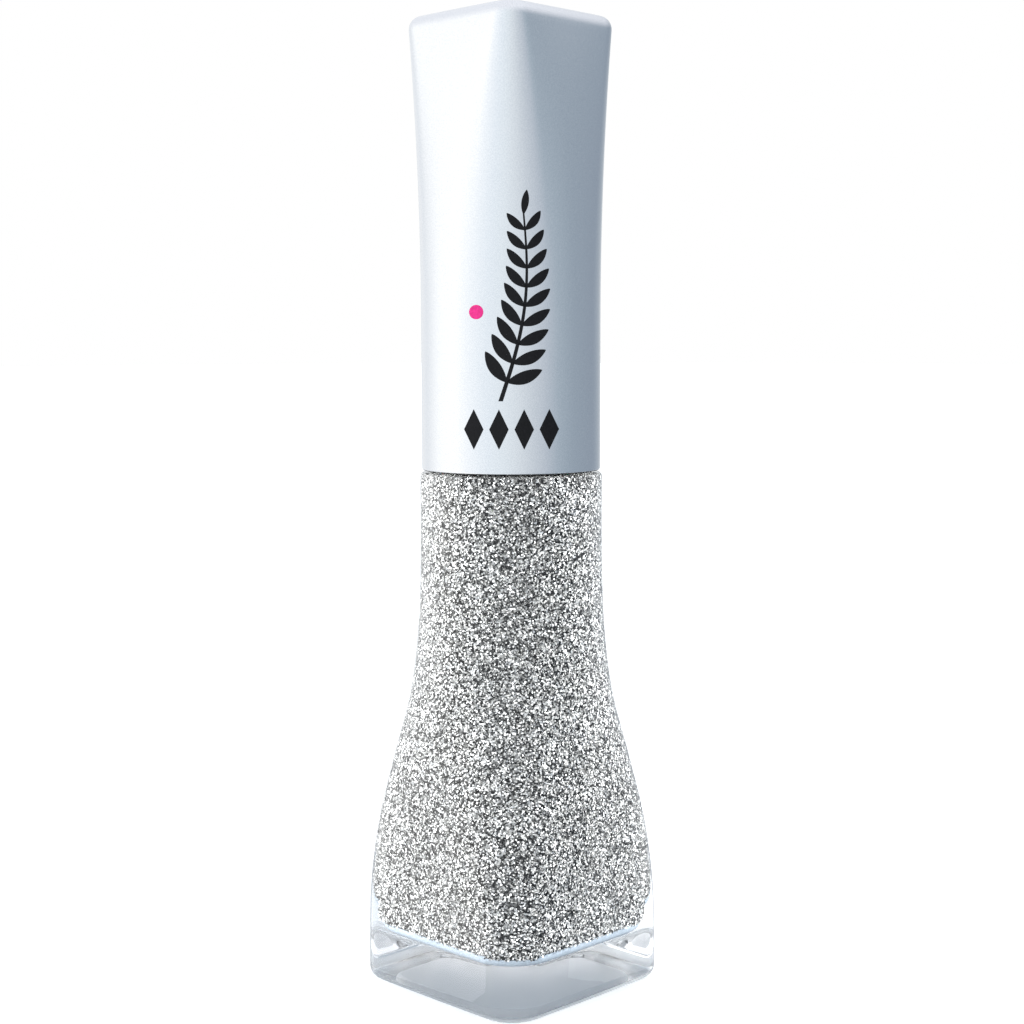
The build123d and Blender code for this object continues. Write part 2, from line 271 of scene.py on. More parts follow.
class Nodes:
    """A material and short ways to add and join its nodes."""

    def __init__(self, name):
        self.material = bpy.data.materials.new(name)
        self.material.use_nodes = True
        self.tree = self.material.node_tree
        self.shader = self.tree.nodes["Principled BSDF"]

    def add(self, kind, **settings):
        """A node; settings are its properties, or its inputs written with in_ first."""
        node = self.tree.nodes.new(kind)
        for key, value in settings.items():
            if key.startswith("in_"):
                node.inputs[key[3:].replace("_", " ")].default_value = value
            else:
                setattr(node, key, value)
        return node

    def join(self, out, into):
        """Links a node's output to another's input."""
        self.tree.links.new(out, into)

    def set(self, **values):
        """Sets the main shader's inputs; a name's underscores stand for spaces."""
        for key, value in values.items():
            self.shader.inputs[key.replace("_", " ")].default_value = value

    def place(self):
        """Object coordinates, in metres."""
        return self.add("ShaderNodeTexCoord").outputs["Object"]

    def noise(self, cells_per_mm, detail=4.0):
        """A cloudy 0 to 1 factor, the same in every direction."""
        scale = cells_per_mm / MM
        node = self.add("ShaderNodeTexNoise", in_Scale=scale, in_Detail=detail)
        self.join(self.place(), node.inputs["Vector"])
        return node.outputs["Fac"]

    def paint(self, factor, stops, constant=False):
        """Colours the surface by a 0 to 1 factor, with stops of (position, colour)."""
        node = self.add("ShaderNodeValToRGB")
        node.color_ramp.interpolation = "CONSTANT" if constant else "LINEAR"
        while len(node.color_ramp.elements) < len(stops):
            node.color_ramp.elements.new(0.5)
        for element, (position, colour) in zip(node.color_ramp.elements, stops):
            element.position = position
            element.color = (*colour, 1)
        self.join(factor, node.inputs["Fac"])
        self.join(node.outputs["Color"], self.shader.inputs["Base Color"])

    def roughen(self, factor, low, high):
        """Varies the surface's roughness from low to high by a 0 to 1 factor."""
        node = self.add("ShaderNodeMapRange", in_To_Min=low, in_To_Max=high)
        self.join(factor, node.inputs["Value"])
        self.join(node.outputs["Result"], self.shader.inputs["Roughness"])

    def bump(self, factor, depth_mm):
        """Gives the surface relief of that depth by a 0 to 1 factor."""
        node = self.add("ShaderNodeBump", in_Distance=depth_mm * MM, in_Strength=1.0)
        self.join(factor, node.inputs["Height"])
        self.join(node.outputs["Normal"], self.shader.inputs["Normal"])

    def let_lamps_through(self, tint):
        """Lets light reach what lies behind clear glass, instead of a full shadow."""
        clear = self.add("ShaderNodeBsdfTransparent", in_Color=(*tint, 1))
        mix = self.add("ShaderNodeMixShader")
        path = self.add("ShaderNodeLightPath")
        self.join(path.outputs["Is Shadow Ray"], mix.inputs["Fac"])
        self.join(self.shader.outputs[0], mix.inputs[1])
        self.join(clear.outputs[0], mix.inputs[2])
        self.join(mix.outputs[0], self.tree.nodes["Material Output"].inputs["Surface"])


def grey(value):
    """A neutral colour, or the same number on all three axes."""
    return (value, value, value)


def glass_material(name="clear_glass", roughness=0.0):
    """Clear pressed glass: faint cool tint and the slight waviness of a mould."""
    m = Nodes(name)
    m.set(Transmission_Weight=1.0, IOR=1.5, Roughness=roughness)
    cool, clear = (0.955, 0.975, 0.985), (0.975, 0.985, 0.99)
    m.paint(m.noise(0.05, 1.0), [(0.3, cool), (0.7, clear)])
    m.bump(m.noise(0.12, 1.0), 0.02)
    m.let_lamps_through((0.94, 0.96, 0.97))
    return m.material


def polish_material():
    """The glitter deep in the polish: small cells, each with its own tone and lean. The
    near-black tones are painted shade between the flakes.
    """
    cells_per_mm = 4.6
    spread = 1.1  # of the cells' leans
    m = Nodes("glitter_polish")
    cells = m.add("ShaderNodeTexVoronoi", in_Scale=cells_per_mm / MM, in_Randomness=1.0)
    m.join(m.place(), cells.inputs["Vector"])
    tone = m.add("ShaderNodeSeparateColor")
    m.join(cells.outputs["Color"], tone.inputs["Color"])
    # The near-black cells are painted shade that stands for the gaps between flakes
    tones = [(0.0, grey(0.01)), (0.45, grey(0.06)), (0.7, grey(0.3)), (0.85, grey(0.8))]
    m.paint(tone.outputs["Red"], tones, constant=True)
    m.set(Metallic=0.85, Specular_IOR_Level=0.0)
    m.roughen(tone.outputs["Green"], 0.18, 0.45)
    # Each cell's random colour, centred on zero, leans its normal away from the wall's
    centred = m.add("ShaderNodeVectorMath", operation="SUBTRACT")
    centred.inputs[1].default_value = grey(0.5)
    m.join(cells.outputs["Color"], centred.inputs[0])
    lean = m.add("ShaderNodeVectorMath", operation="MULTIPLY_ADD")
    lean.inputs[1].default_value = grey(spread)
    m.join(centred.outputs[0], lean.inputs[0])
    m.join(m.add("ShaderNodeNewGeometry").outputs["Normal"], lean.inputs[2])
    normal = m.add("ShaderNodeVectorMath", operation="NORMALIZE")
    m.join(lean.outputs[0], normal.inputs[0])
    m.join(normal.outputs[0], m.shader.inputs["Normal"])
    return m.material


def painted_underside_material():
    """A pale grey-blue for the polish's downward faces: painted light on their shaded
    underside.
    """
    m = Nodes("painted_underside_light")
    m.paint(m.noise(6.0), [(0.35, (0.33, 0.38, 0.44)), (0.65, (0.45, 0.52, 0.59))])
    m.set(Metallic=0.1, Roughness=0.5)
    return m.material


def flake_material(name, colour, roughness, metallic):
    """One tone of metallised film flake, slightly uneven as cut film is."""
    m = Nodes(name)
    m.set(Metallic=metallic, Roughness=roughness, Specular_IOR_Level=0.0)
    darker = tuple(c * 0.8 for c in colour)
    m.paint(m.noise(3.0, 2.0), [(0.35, darker), (0.65, colour)])
    return m.material


def pearl_material():
    """Glossy moulded plastic with fine mica pearl and a faint orange peel."""
    m = Nodes("pearl_plastic")
    m.set(Metallic=1.0)
    m.paint(m.noise(9.0, 2.0), [(0.4, (0.86, 0.88, 0.90)), (0.62, (0.93, 0.94, 0.95))])
    m.roughen(m.noise(4.0, 3.0), 0.17, 0.23)
    m.bump(m.noise(0.8, 2.0), 0.001)
    return m.material


def plain_plastic(name, colour, roughness, grain, depth, translucent=0.0):
    """Moulded plastic: a slight cloudiness in its colour and a fine moulded grain."""
    m = Nodes(name)
    darker = tuple(c * 0.88 for c in colour)
    m.paint(m.noise(grain / 8, 3.0), [(0.3, darker), (0.7, colour)])
    m.roughen(m.noise(grain, 4.0), roughness - 0.08, roughness + 0.08)
    if translucent:
        m.set(Subsurface_Weight=translucent, Subsurface_Scale=1.0 * MM)
    m.bump(m.noise(grain, 3.0), depth)
    return m.material


def steel_material(name, roughness):
    """Polished steel with fine haze."""
    m = Nodes(name)
    m.set(Metallic=1.0)
    m.paint(m.noise(2.0), [(0.3, (0.55, 0.55, 0.56)), (0.7, (0.68, 0.68, 0.69))])
    m.roughen(m.noise(6.0), roughness, roughness + 0.12)
    return m.material


def ink_material(name, colour):
    """Printed ink: slight unevenness in its gloss and density."""
    m = Nodes(name)
    m.set(Specular_IOR_Level=0.2)
    lighter = tuple(min(1.0, c * 1.4 + 0.002) for c in colour)
    m.paint(m.noise(5.0), [(0.35, colour), (0.7, lighter)])
    m.roughen(m.noise(8.0), 0.22, 0.38)
    return m.material


# ---------------------------------------------------------------- glass

FOOT_LOOP_INSET = 0.2  # a ring this far inside the foot's fillet keeps the flat even
UNDERSIDE_SLOPE = -0.3  # faces that lean further down than this are the foot's underside
STIPPLE_ROUGHNESS = 0.6  # in the foot's recess
WORN_ROUGHNESS = 0.25  # on the flat ring round the recess
RECESS_START = 0.15  # the underside below this height is the ring,
RECESS_END = 1.0  # and from there up to this one it is the recess


def thread_profile(points, height):
    """How far the neck's thread stands proud of the wall, at each point of a ring."""
    around = np.degrees(np.arctan2(points[:, 1], points[:, 0]))
    proud = np.zeros(len(points))
    for turn in range(-1, 3):  # every turn in which the thread can pass this height
        angle = around + 360 * turn
        offset = np.abs(height - THREAD_START - THREAD_PITCH * angle / 360)
        flank = (THREAD_ROOT / 2 - offset) / ((THREAD_ROOT - THREAD_CREST) / 2)
        fade_in = (angle + THREAD_FADE) / THREAD_FADE
        fade_out = (360 * THREAD_TURNS + THREAD_FADE - angle) / THREAD_FADE
        ends = np.clip(np.minimum(fade_in, fade_out), 0, 1)
        proud = np.maximum(proud, np.clip(flank, 0, 1) * ends)
    return proud * THREAD_DEPTH


def neck_ring(height):
    """The neck's outer section at a height, with its thread."""
    points = circle(NECK_RADIUS, height)
    radial = points[:, :2] / NECK_RADIUS
    points[:, :2] += radial * thread_profile(points, height)[:, None]
    return points


def cavity_rings(grow, stretch=0.0):
    """Rings of the cavity from the middle of its floor to the bottom of the bore, with
    its walls moved out by grow, and its floor and ceiling apart by stretch each."""
    floor = FLOOR_HEIGHT - stretch
    rings = shrunk(cavity_ring(floor, FLOOR_FILLET - grow), (0.05, 0.4, 0.8, 0.98))
    for inset, rise in fillet_steps(FLOOR_FILLET, 12):
        rings.append(cavity_ring(floor + rise, inset - grow))
    ceiling = CEILING_HEIGHT + stretch
    for height in np.linspace(floor + FLOOR_FILLET, ceiling - CEILING_FILLET, 90)[1:-1]:
        rings.append(cavity_ring(height, -grow))
    for inset, drop in reversed(fillet_steps(CEILING_FILLET, 8)):
        rings.append(cavity_ring(ceiling - drop, inset - grow))
    bore = BORE_RADIUS + grow
    for spread, rise in fillet_steps(BORE_FILLET, 8):
        rings.append(circle(bore + spread, ceiling + rise))
    return rings


def glass_rings():
    """Rings of the whole glass, from under the foot, over the lip, to the floor inside."""
    recess_top = FOOT_PAD_HEIGHT + FOOT_RECESS_DEPTH
    recess = []
    for inset in (FOOT_RECESS_DEPTH, 0.0):
        half_diagonal = FOOT_RECESS_HALF_DIAGONAL - inset
        recess.append(
            outline(half_diagonal, FOOT_RECESS_CORNER_RADIUS - inset, FLAT_SIDE_ANGLE)
        )
    rings = shrunk(ring(recess[0], recess_top), (0.05, 0.5, 0.95, 1.0))
    rings.append(ring(recess[1], FOOT_PAD_HEIGHT))
    rings.append(body_ring(FOOT_PAD_HEIGHT, FOOT_EDGE_FILLET + FOOT_LOOP_INSET))
    for inset, rise in fillet_steps(FOOT_EDGE_FILLET, 10):
        rings.append(body_ring(FOOT_PAD_HEIGHT + rise, inset))
    wall_low = FOOT_PAD_HEIGHT + FOOT_EDGE_FILLET
    wall_top = SEAM_HEIGHT - SHOULDER_EDGE_FILLET
    for height in np.linspace(wall_low, wall_top, 110)[1:-1]:
        rings.append(body_ring(height))
    for inset, drop in reversed(fillet_steps(SHOULDER_EDGE_FILLET, 6)):
        rings.append(body_ring(SEAM_HEIGHT - drop, inset))
    for share in np.linspace(0, 1, 5):
        radius = blend(NECK_SKIRT_RADIUS, NECK_RADIUS, share)
        rings.append(circle(radius, SEAM_HEIGHT + NECK_SKIRT_HEIGHT * share))
    lip_low = NECK_TOP - LIP_FILLET
    for height in np.linspace(SEAM_HEIGHT + NECK_SKIRT_HEIGHT, lip_low, 110)[1:-1]:
        rings.append(neck_ring(height))
    for inset, drop in reversed(fillet_steps(LIP_FILLET, 7)):
        rings.append(circle(NECK_RADIUS - inset, NECK_TOP - drop))
    for spread, drop in fillet_steps(LIP_FILLET, 7):
        rings.append(circle(BORE_RADIUS + spread, NECK_TOP - drop))
    # The bore steps in just above the polish, where the clear body takes in the lacquer
    for height in np.linspace(lip_low, POLISH_TOP + 0.3, 8)[1:]:
        rings.append(circle(BORE_RADIUS, height))
    for height in np.linspace(POLISH_TOP + 0.1, BORE_FOOT, 4):
        rings.append(circle(BORE_RADIUS - LACQUER_DEPTH, height))
    return rings + cavity_rings(-LACQUER_DEPTH)[::-1]


clear_glass = glass_material()
glass = skin("glass_shell", glass_rings(), clear_glass, "bottle")
glass.data.materials.append(glass_material("stippled_glass", STIPPLE_ROUGHNESS))
glass.data.materials.append(glass_material("worn_glass", WORN_ROUGHNESS))
for face in glass.data.polygons:
    height = face.center.z / MM
    if height < RECESS_END and face.normal.z < UNDERSIDE_SLOPE:
        face.material_index = 1 if height > RECESS_START else 2
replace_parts(glass, "glass_bottle")


def foot_pad(name, x, y):
    """One of the four low pads under the corners of the foot, its edge rounded."""
    top = FOOT_PAD_HEIGHT + FOOT_PAD_SINK
    # Each step is an inset from the pad's radius, and a height
    steps = [(0.75, top), (0.05, top), (0.05, FOOT_PAD_HEIGHT), (0.0, 0.06)]
    steps += [(0.02, 0.02), (0.08, 0.0), (0.75, 0.0)]
    rings = [circle(FOOT_PAD_RADIUS - inset, z) + [x, y, 0] for inset, z in steps]
    skin(name, rings, clear_glass, "bottle")


for k, (x, y) in enumerate(((1, 1), (-1, 1), (-1, -1), (1, -1))):
    foot_pad(f"foot_pad_{k + 1}", x * FOOT_PAD_CENTRE, y * FOOT_PAD_CENTRE)

# ---------------------------------------------------------------- polish and its glitter

POLISH_OVERLAP = 0.03  # into the clear body, so that no air lies between them
FLAKE_LAYERS = 2
FLAKE_COUNT = 90000  # in each layer
FLAKE_RADIUS = (0.06, 0.11)
FLAKE_TILT = 0.5  # spread of a flake's lean from the wall, as a slope
FLAKE_SINK = 0.3  # how deep a flake is hidden in the core where none should show
PALE_UNDERSIDE_SLOPE = -0.2  # faces that lean further down than this carry painted light on the polish's underside
DISH_DEPTH = 0.35  # of the polish's top, below its rim


def polish_rings():
    """Rings of the liquid: the cavity, the foot of the bore and a dished top."""
    rings = cavity_rings(POLISH_OVERLAP - LACQUER_DEPTH, POLISH_OVERLAP)
    bore = BORE_RADIUS + POLISH_OVERLAP - LACQUER_DEPTH
    for height in np.linspace(BORE_FOOT, POLISH_TOP, 6):
        rings.append(circle(bore, height))
    for share in np.linspace(1, 0.1, 10):
        dish = DISH_DEPTH * (1 - share**4)
        rings.append(circle(bore * share, POLISH_TOP - dish))
    return rings


core = polish_material()
polish = skin("polish_body", polish_rings(), core, "bottle")
# The polish's downward faces take a pale tone, painted light on its shaded underside
polish.data.materials.append(painted_underside_material())
for face in polish.data.polygons:
    if face.normal.z < PALE_UNDERSIDE_SLOPE:
        face.material_index = 1
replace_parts(polish, "nail_polish")


def surface_samples(obj, count):
    """Points spread evenly over a mesh, and the outward normal at each, in mm."""
    mesh = obj.data
    mesh.calc_loop_triangles()
    corners = np.array([t.vertices for t in mesh.loop_triangles])
    points = np.array([v.co for v in mesh.vertices]) / MM
    a, b, c = (points[corners[:, k]] for k in range(3))
    normal = np.cross(b - a, c - a)
    size = np.linalg.norm(normal, axis=1)
    chosen = random.choice(len(size), count, p=size / size.sum())
    u, v = random.random((2, count, 1))
    u, v = np.where(u + v > 1, 1 - u, u), np.where(u + v > 1, 1 - v, v)
    place = a[chosen] + u * (b[chosen] - a[chosen]) + v * (c[chosen] - a[chosen])
    return place, normal[chosen] / size[chosen, None]


def unit(vectors):
    """The rows of an array, each brought to length 1."""
    return vectors / np.linalg.norm(vectors, axis=1)[:, None]


def flakes(name, lift, materials):
    """A layer of thin squares of film in the clear lacquer around the polish's core,
    within the two distances from it that lift gives. They lie closer to it where it
    faces up or down, and none show on the downward faces that carry painted light."""
    place, outward = surface_samples(polish, FLAKE_COUNT)
    steepness = 1 - np.abs(outward[:, 2:])
    rise = random.uniform(*lift, (FLAKE_COUNT, 1)) * steepness
    rise[outward[:, 2] < PALE_UNDERSIDE_SLOPE] = -FLAKE_SINK
    centre = place + rise * outward
    facing = unit(outward + random.normal(0, FLAKE_TILT, (FLAKE_COUNT, 3)))
    across = unit(np.cross(facing, random.normal(0, 1, (FLAKE_COUNT, 3))))
    along = np.cross(facing, across)
    radius = random.uniform(*FLAKE_RADIUS, (FLAKE_COUNT, 1))
    corners = []
    for angle in np.arange(4) * math.pi / 2:
        toward = math.cos(angle) * across + math.sin(angle) * along
        corners.append(centre + radius * toward)
    vertices = np.stack(corners, axis=1).reshape(-1, 3)
    faces = np.arange(4 * FLAKE_COUNT).reshape(-1, 4).tolist()
    first, *others = materials
    made = new_object(name, vertices, faces, first, "bottle", False)
    for material in others:
        made.data.materials.append(material)
    tones = random.integers(0, len(materials), FLAKE_COUNT).astype(np.int32)
    made.data.polygons.foreach_set("material_index", tones)
    return made


silver = [
    flake_material("flake_bright", (0.98, 0.97, 0.95), 0.30, 0.6),
    flake_material("flake_silver", (0.95, 0.94, 0.92), 0.25, 0.9),
    flake_material("flake_light", (0.80, 0.79, 0.77), 0.35, 0.7),
    flake_material("flake_grey", (0.22, 0.22, 0.21), 0.40, 0.8),
    # A near-black tone: painted shade that stands for the gaps between flakes
    flake_material("flake_gap_shade", (0.02, 0.02, 0.02), 0.60, 0.0),
]
levels = np.linspace(POLISH_OVERLAP, LACQUER_DEPTH - POLISH_OVERLAP, FLAKE_LAYERS + 1)
glitter = [polish]
for k, lift in enumerate(zip(levels, levels[1:])):
    glitter.append(flakes(f"glitter_flakes_{k + 1}", lift, silver))

# ---------------------------------------------------------------- overcap

SOCKET_MARGIN = 0.05  # faces within this of the socket's wall and ceiling belong to it
RIM_SLOPE = -0.6  # faces that lean further down than this are the rim's underside


def overcap_rings():
    """Rings of the overcap's skin, from the socket's ceiling down and up its outside."""
    ceiling = circle(CAP_SOCKET_RADIUS, CAP_SOCKET_TOP)
    rings = shrunk(ceiling, (0.05, 0.5, 0.95, 1.0))
    for height in np.linspace(CAP_SOCKET_TOP, CAP_BOTTOM, 8)[1:]:
        rings.append(circle(CAP_SOCKET_RADIUS, height))
    for inset, rise in fillet_steps(CAP_EDGE_FILLET, 6):
        rings.append(cap_ring(CAP_BOTTOM + rise, inset))
    for height in np.linspace(CAP_BOTTOM + CAP_EDGE_FILLET, CAP_FLARE_START, 16)[1:]:
        rings.append(cap_ring(height))
    for height in np.linspace(CAP_FLARE_START, CAP_TOP - CAP_TOP_FILLET, 60)[1:-1]:
        rings.append(cap_ring(height))
    for inset, drop in reversed(fillet_steps(CAP_TOP_FILLET, 14)):
        rings.append(cap_ring(CAP_TOP - drop, inset))
    return rings + shrunk(rings[-1], (0.97, 0.6, 0.1))


pearl = pearl_material()
overcap = skin("overcap_shell", overcap_rings(), pearl, "cap")
# The socket and the rim's underside are near-black with no pearl: painted shade that
# darkens the seam between cap and glass
overcap.data.materials.append(
    plain_plastic("painted_seam_shade", (0.02, 0.022, 0.025), 0.5, 5.0, 0.003)
)
for face in overcap.data.polygons:
    x, y, z = face.center / MM
    within = math.hypot(x, y) < CAP_SOCKET_RADIUS + SOCKET_MARGIN
    in_socket = within and z < CAP_SOCKET_TOP + SOCKET_MARGIN
    if in_socket or face.normal.z < RIM_SLOPE:
        face.material_index = 1
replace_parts(overcap, "overcap")

# ---------------------------------------------------------------- print on the cap

FRONT = np.array([1, -1]) / math.sqrt(2)  # the printed corner of the cap
RIGHT = np.array([1, 1]) / math.sqrt(2)
PRINT_DEPTH = 0.025  # of the ink above and below the skin
SPRIG_FOOT = (-0.9, 53.9)  # across the cap and up
SPRIG_TOP = (1.1, 70.2)
SPRIG_BOW = 1.1  # how far the stem's middle swings to the right
STEM_HALF_WIDTHS = (0.2, 0.07)  # at its foot and at its top
LEAF_PAIRS = 9
LEAF_LENGTHS = (3.4, 2.0)  # at the stem's foot and at its top
LEAF_SLIMNESS = 0.17  # half width, as a share of the length
LEAF_BEND = 0.12
BERRY_CENTRE = (-3.0, 61.6)
BERRY_RADIUS = 0.62
LOZENGE_PLACES = (-3.25, -1.05, 1.15, 3.35)
LOZENGE_HEIGHTS = (49.7, 53.2)
LOZENGE_HALF_WIDTH = 0.85


def on_cap(across, height, lift):
    """The place on the cap's printed side at a distance across it, lifted off the skin."""
    section = cap_ring(height, -lift)[:, :2]
    section = section[section @ FRONT > 0]
    section = section[np.argsort(section @ RIGHT)]
    depth = np.interp(across, section @ RIGHT, section @ FRONT)
    return [*(across * RIGHT + depth * FRONT), height]


def inlay(name, grid, material):
    """A thin closed sheet of ink on the cap, through a grid of (across, height) points."""
    rows, columns = len(grid), len(grid[0])
    vertices = []
    for lift in (PRINT_DEPTH, -PRINT_DEPTH):
        vertices += [on_cap(u, z, lift) for line in grid for u, z in line]
    back = rows * columns
    faces = []
    for i in range(rows - 1):
        for j in range(columns - 1):
            k = i * columns + j
            face = (k, k + 1, k + columns + 1, k + columns)
            faces += [face, tuple(v + back for v in reversed(face))]
    rim = [(i, 0) for i in range(rows)]
    rim += [(rows - 1, j) for j in range(1, columns)]
    rim += [(i, columns - 1) for i in range(rows - 2, -1, -1)]
    rim += [(0, j) for j in range(columns - 2, 0, -1)]
    edge = [i * columns + j for i, j in rim]
    faces += [(a, b, b + back, a + back) for a, b in zip(edge, edge[1:] + edge[:1])]
    made = new_object(name, vertices, faces, material, "cap", False)
    face_outwards(made)
    return made


def blade(start, end, half_width, bend=0.0, rows=17, columns=7):
    """Grid of a leaf shape from start to end, its half width a function of the way along,
    with its rows closer together towards the two ends."""
    start, end = np.array(start), np.array(end)
    length = np.linalg.norm(end - start)
    side = np.array([end[1] - start[1], start[0] - end[0]]) / length
    grid = []
    for way in (1 - np.cos(np.linspace(0.03, math.pi - 0.03, rows))) / 2:
        middle = start + (end - start) * way + side * bend * math.sin(math.pi * way)
        spread = np.linspace(-1, 1, columns) * half_width(way)
        grid.append([tuple(middle + side * s) for s in spread])
    return grid


def leaf(half_width):
    """Half width of a leaf, as a function of the way along it."""
    return lambda way: half_width * math.sin(math.pi * way) ** 0.75


def disc(radius):
    """Half width of a disc, as a function of the way up it."""
    return lambda way: radius * 2 * math.sqrt(max(way * (1 - way), 0))


def lozenge(half_width):
    """Half width of a lozenge, as a function of the way up it."""
    return lambda way: half_width * (1 - abs(2 * way - 1))


def stem_at(way):
    """The place of the sprig's stem, from its foot at 0 to its top at 1."""
    straight = blend(np.array(SPRIG_FOOT), np.array(SPRIG_TOP), way)
    return straight + np.array([SPRIG_BOW * math.sin(math.pi * way), 0])


def sprig(ink):
    """A leafy stem up the cap: paired leaves that shorten towards the tip."""
    stem = []
    for way in np.linspace(0, 1, 40):
        x, z = stem_at(way)
        half_width = blend(*STEM_HALF_WIDTHS, way)
        stem.append([(x + side * half_width, z) for side in (-1, 0, 1)])
    inlay("sprig_stem", stem, ink)
    for k, way in enumerate(np.linspace(0.1, 0.9, LEAF_PAIRS)):
        root = stem_at(way)
        size = blend(*LEAF_LENGTHS, way)
        slope = math.atan2(*(stem_at(way + 0.01) - stem_at(way - 0.01)))
        for side, label in ((-1, "l"), (1, "r")):
            lean = slope + side * math.radians(54 - 12 * way)
            tip = root + size * np.array([math.sin(lean), math.cos(lean)])
            grid = blade(root, tip, leaf(size * LEAF_SLIMNESS), LEAF_BEND * side)
            inlay(f"sprig_leaf_{k + 1}_{label}", grid, ink)
    top = stem_at(1.0)
    inlay("sprig_tip", blade(top - [0, 0.3], top + [0.3, 1.8], leaf(0.32)), ink)


def berry(ink):
    """The round berry beside the sprig."""
    across, height = BERRY_CENTRE
    low, high = height - BERRY_RADIUS, height + BERRY_RADIUS
    inlay("sprig_berry", blade((across, low), (across, high), disc(BERRY_RADIUS)), ink)


def lozenges(ink):
    """A row of four tall lozenges under the sprig."""
    low, high = LOZENGE_HEIGHTS
    shape = lozenge(LOZENGE_HALF_WIDTH)
    for k, across in enumerate(LOZENGE_PLACES):
        grid = blade((across, low), (across, high), shape, 0, 21)
        inlay(f"cap_lozenge_{k + 1}", grid, ink)


black_ink = ink_material("black_ink", (0.004, 0.004, 0.005))
sprig(black_ink)
berry(ink_material("pink_ink", (0.75, 0.03, 0.22)))
lozenges(black_ink)

# ---------------------------------------------------------------- bristles

TUFT_ROOT_TOP = 24.4
TUFT_ROOT_END = 20.5
TUFT_TIP = 7.3
TUFT_ROOT_RADIUS = 1.17
TUFT_BELLY_RADIUS = 1.85
TUFT_FULLNESS = 0.97  # share of the tuft's radius that the outermost filament keeps to
TUFT_DOME = 3.2  # how much shorter the outermost filaments are than the middle ones
TUFT_RAGGEDNESS = 0.25  # how much the ends differ at random
FILAMENT_COUNT = 560
FILAMENT_RADIUS = 0.035
FILAMENT_SIDES = 5
FILAMENT_RINGS = 9
FILAMENT_TWIST = 0.05  # spread of a filament's turn round the tuft, in radians
FILAMENT_TAPER = 0.6  # share of its thickness that a filament loses by its end


def tuft_radius(height):
    """Radius of the whole tuft at a height."""
    way = np.clip((TUFT_ROOT_END - height) / (TUFT_ROOT_END - TUFT_TIP), 0, 1)
    belly = np.sin(np.pi / 2 * np.minimum(way / 0.6, 1)) ** 1.3
    return TUFT_ROOT_RADIUS + (TUFT_BELLY_RADIUS - TUFT_ROOT_RADIUS) * belly


def filaments(material):
    """The tuft, one tapered tube for each nylon filament."""
    sides, steps = FILAMENT_SIDES, FILAMENT_RINGS
    vertices, faces = [], []
    for _ in range(FILAMENT_COUNT):
        reach = math.sqrt(random.random()) * TUFT_FULLNESS
        turn = random.uniform(0, 2 * math.pi)
        end = TUFT_TIP + TUFT_DOME * reach**2.4 + random.uniform(0, TUFT_RAGGEDNESS)
        twist = random.normal(0, FILAMENT_TWIST)
        base = len(vertices)
        for step, height in enumerate(np.linspace(TUFT_ROOT_TOP, end, steps)):
            away = reach * tuft_radius(height)
            angle = turn + twist * step / steps
            thick = FILAMENT_RADIUS * (1 - FILAMENT_TAPER * (step / (steps - 1)) ** 3)
            x, y = away * math.cos(angle), away * math.sin(angle)
            for corner in np.arange(sides) * 2 * math.pi / sides:
                across, along = thick * math.cos(corner), thick * math.sin(corner)
                vertices.append((x + across, y + along, height))
        for step in range(steps - 1):
            for k in range(sides):
                a = base + step * sides + k
                b = base + step * sides + (k + 1) % sides
                faces.append((a, b, b + sides, a + sides))
        faces.append(tuple(range(base, base + sides)))
        last = base + (steps - 1) * sides
        faces.append(tuple(range(last, last + sides)))
    name, slot = "bristle_filaments", "bristle_nylon"
    made = new_object(name, vertices, faces, material, "cap")
    face_outwards(made)
    return made


nylon = plain_plastic("bristle_nylon", (0.02, 0.02, 0.022), 0.35, 12.0, 0.001)
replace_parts(filaments(nylon), "bristles")

# ---------------------------------------------------------------- CAD pieces that stay


def dress(node, material):
    """Gives a carried-over CAD piece its material."""
    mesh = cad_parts[node].data
    mesh.materials.clear()
    mesh.materials.append(material)


polypropylene = plain_plastic("closure_plastic", (0.80, 0.81, 0.80), 0.4, 4.0, 0.004, 0.3)
polythene = plain_plastic("stem_plastic", (0.86, 0.86, 0.84), 0.36, 5.0, 0.003, 0.3)
foam = plain_plastic("liner_foam", (0.84, 0.84, 0.80), 0.75, 7.0, 0.02, 0.2)
polished = steel_material("ball_steel", 0.12)
wire = steel_material("staple_wire", 0.25)
dress("inner_cap", polypropylene)
dress("brush_stem", polythene)
dress("sealing_liner", foam)
dress("bristle_staple", wire)
dress("mixing_ball_1", polished)
dress("mixing_ball_2", polished)

# ---------------------------------------------------------------- studio

# Colour of the surroundings, by world azimuth in degrees from +X towards +Y: a white
# panel at the left, a pale front and a grey-blue wall at the right, as linear colours
SURROUNDINGS = (
    (-180, (0.85, 0.88, 0.92)),
    (-150, (1.12, 1.13, 1.14)),
    (-120, (1.17, 1.17, 1.17)),
    (-98, (1.00, 1.04, 1.08)),
    (-75, (0.88, 0.94, 1.00)),
    (-55, (0.83, 0.89, 0.94)),
    (-35, (0.74, 0.79, 0.84)),
    (-15, (0.61, 0.66, 0.72)),
    (2, (0.52, 0.57, 0.64)),
    (17, (0.39, 0.46, 0.53)),
    (42, (0.32, 0.38, 0.45)),
    (85, (0.29, 0.34, 0.41)),
    (108, (0.42, 0.47, 0.53)),
    (130, (0.85, 0.88, 0.90)),
    (165, (0.90, 0.92, 0.95)),
    (180, (0.85, 0.88, 0.92)),
)
OVERHEAD = (0.88, 0.90, 0.96)  # the colour that the surroundings fade to overhead
FADE_HEIGHTS = (0.22, 0.75)  # sines of the elevations between which they fade


